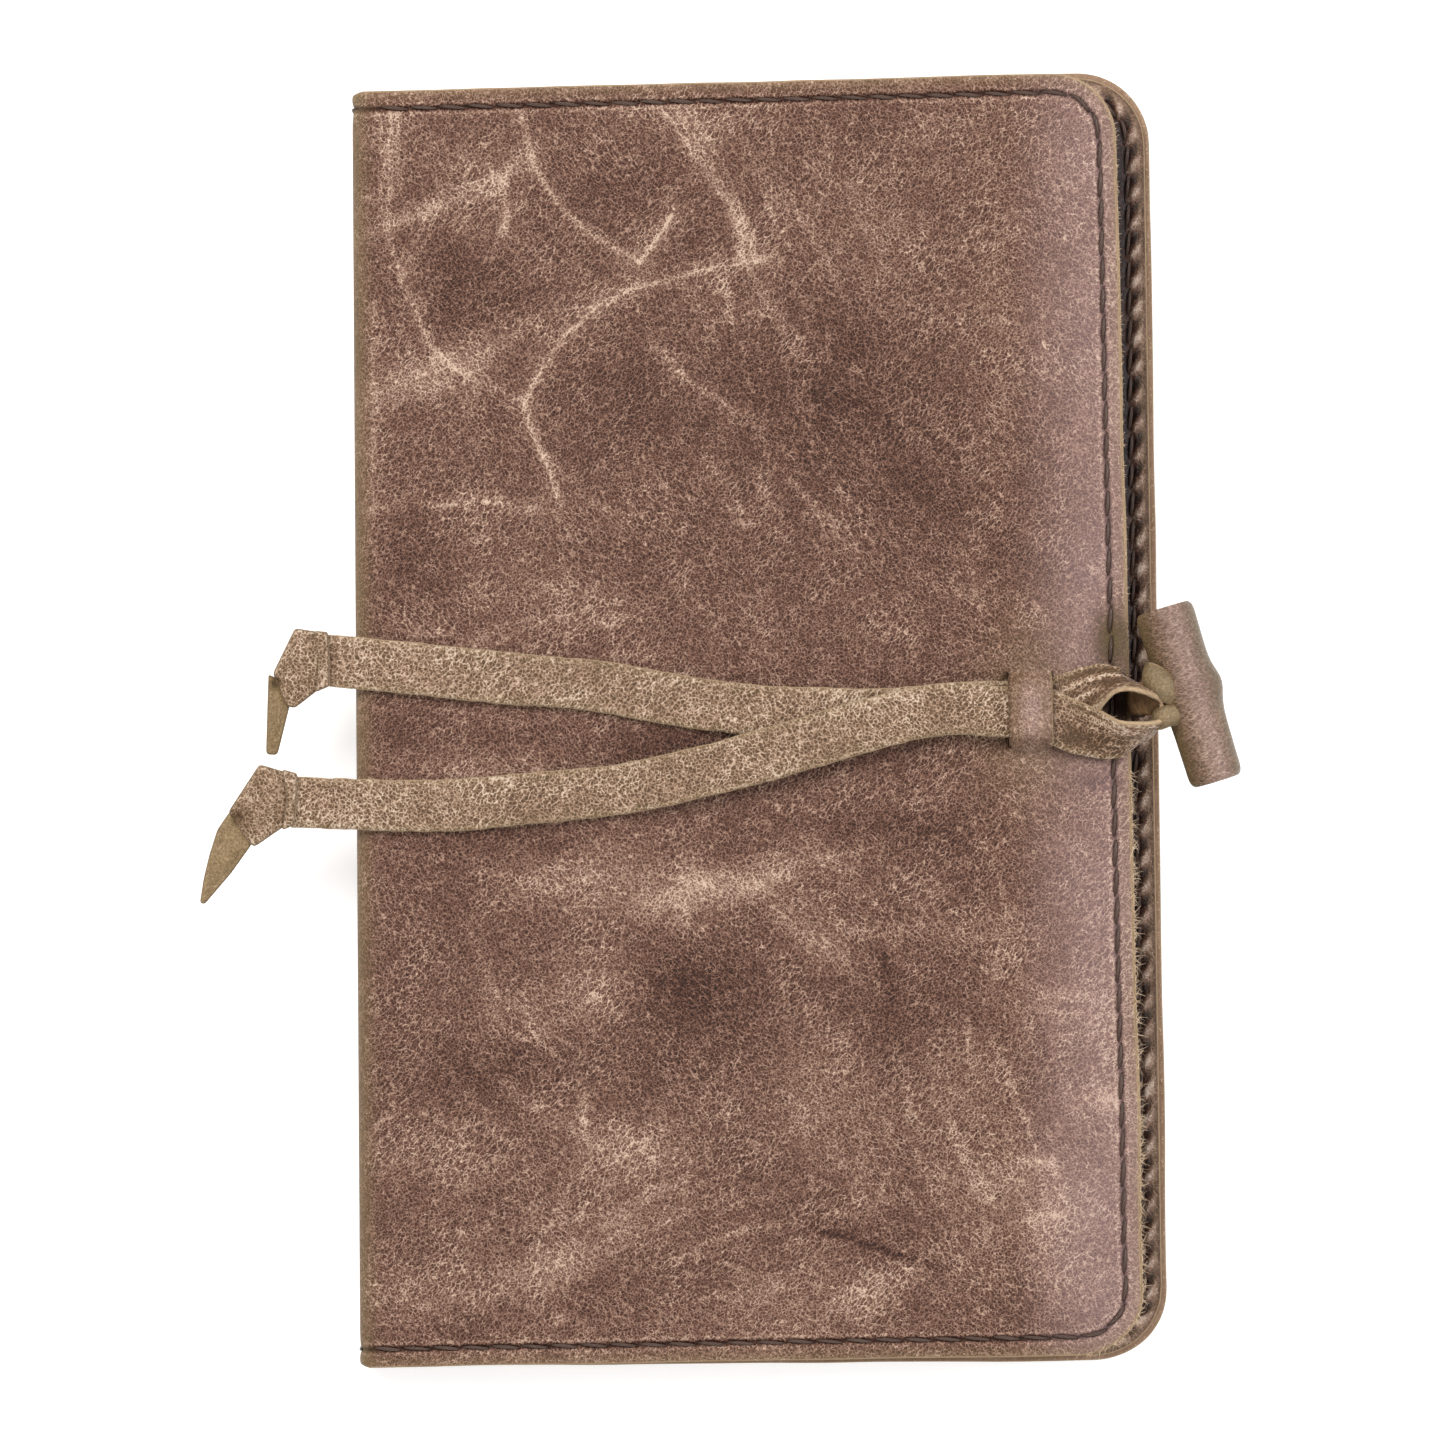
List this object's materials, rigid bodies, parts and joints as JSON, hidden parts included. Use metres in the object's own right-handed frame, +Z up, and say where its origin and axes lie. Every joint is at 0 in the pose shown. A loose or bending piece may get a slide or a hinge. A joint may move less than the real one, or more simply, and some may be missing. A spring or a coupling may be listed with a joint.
{
  "type": "leather notebook cover",
  "caption": "Thick leather slip-on cover for a notebook, hand stitched round its edge, closed by a doubled lace that runs under a slit band and loops over a rolled leather toggle.",
  "frame": {"origin": "on the table, at the middle of the back cover's outside face", "axes": "+Z up out of the front cover when it lies closed on its back cover, +Y along the spine towards the top edge, +X from the spine to the opening side"},
  "size_m": [0.1791, 0.2226, 0.0239],
  "materials": {
    "cover_leather": "waxed pull-up leather, mid brown with lighter clouds, semi-matt",
    "pocket_leather": "darker pebbled leather, semi-matt",
    "lace_leather": "tan leather lace with pale raw edges, matt",
    "toggle_leather": "smooth rolled leather, soft sheen",
    "thread": "dark brown waxed thread"
  },
  "bodies": {
    "back": {"back_cover": "cover_leather", "back_pocket": "pocket_leather", "back_thread": "thread", "thong_anchor": "toggle_leather"},
    "spine": {"spine_cover": "cover_leather", "spine_thread_head": "thread", "spine_thread_tail": "thread"},
    "front": {"front_cover": "cover_leather", "front_pocket": "pocket_leather", "front_thread": "thread"},
    "lace": {"lace_run_lower": "lace_leather", "lace_run_upper": "lace_leather", "lace_loop": "lace_leather"},
    "upper_tail": {"upper_tail": "lace_leather", "upper_knot": "lace_leather"},
    "lower_tail": {"lower_tail": "lace_leather", "lower_knot": "lace_leather"},
    "thong": {"toggle_thong": "toggle_leather"},
    "toggle": {"toggle_roll": "toggle_leather"}
  },
  "joints": [
    {"name": "spine_fold", "type": "hinge", "parent": "back", "child": "spine", "pos_m": [-0.06785, 0, 0.0009], "axis": [0, -1, 0], "range_deg": [0, 90], "deforming": ["lace_loop"]},
    {"name": "front_fold", "type": "hinge", "parent": "spine", "child": "front", "pos_m": [-0.06785, 0, 0.0151], "axis": [0, -1, 0], "range_deg": [0, 90], "deforming": ["lace_loop"]},
    {"name": "lace_slide", "type": "slide", "parent": "front", "child": "lace", "axis": [1, 0, 0], "range_m": [0, 0.006], "deforming": ["lace_loop"]},
    {"name": "upper_tail_lift", "type": "hinge", "parent": "lace", "child": "upper_tail", "pos_m": [0.035, 0.0028, 0.019], "axis": [0, 1, 0], "range_deg": [0, 70]},
    {"name": "lower_tail_lift", "type": "hinge", "parent": "upper_tail", "child": "lower_tail", "pos_m": [0.035, 0.0028, 0.019], "axis": [0, 1, 0], "range_deg": [0, 70]},
    {"name": "toggle_swing", "type": "hinge", "parent": "back", "child": "thong", "pos_m": [0.0662, 0.0039, 0.0062], "axis": [0, 1, 0], "range_deg": [0, 50], "deforming": ["lace_loop"]},
    {"name": "toggle_swivel", "type": "hinge", "parent": "thong", "child": "toggle", "pos_m": [0.07515, 0.00515, 0.0175], "axis": [0, 0, 1], "range_deg": [-30, 5], "deforming": ["lace_loop"]}
  ]
}
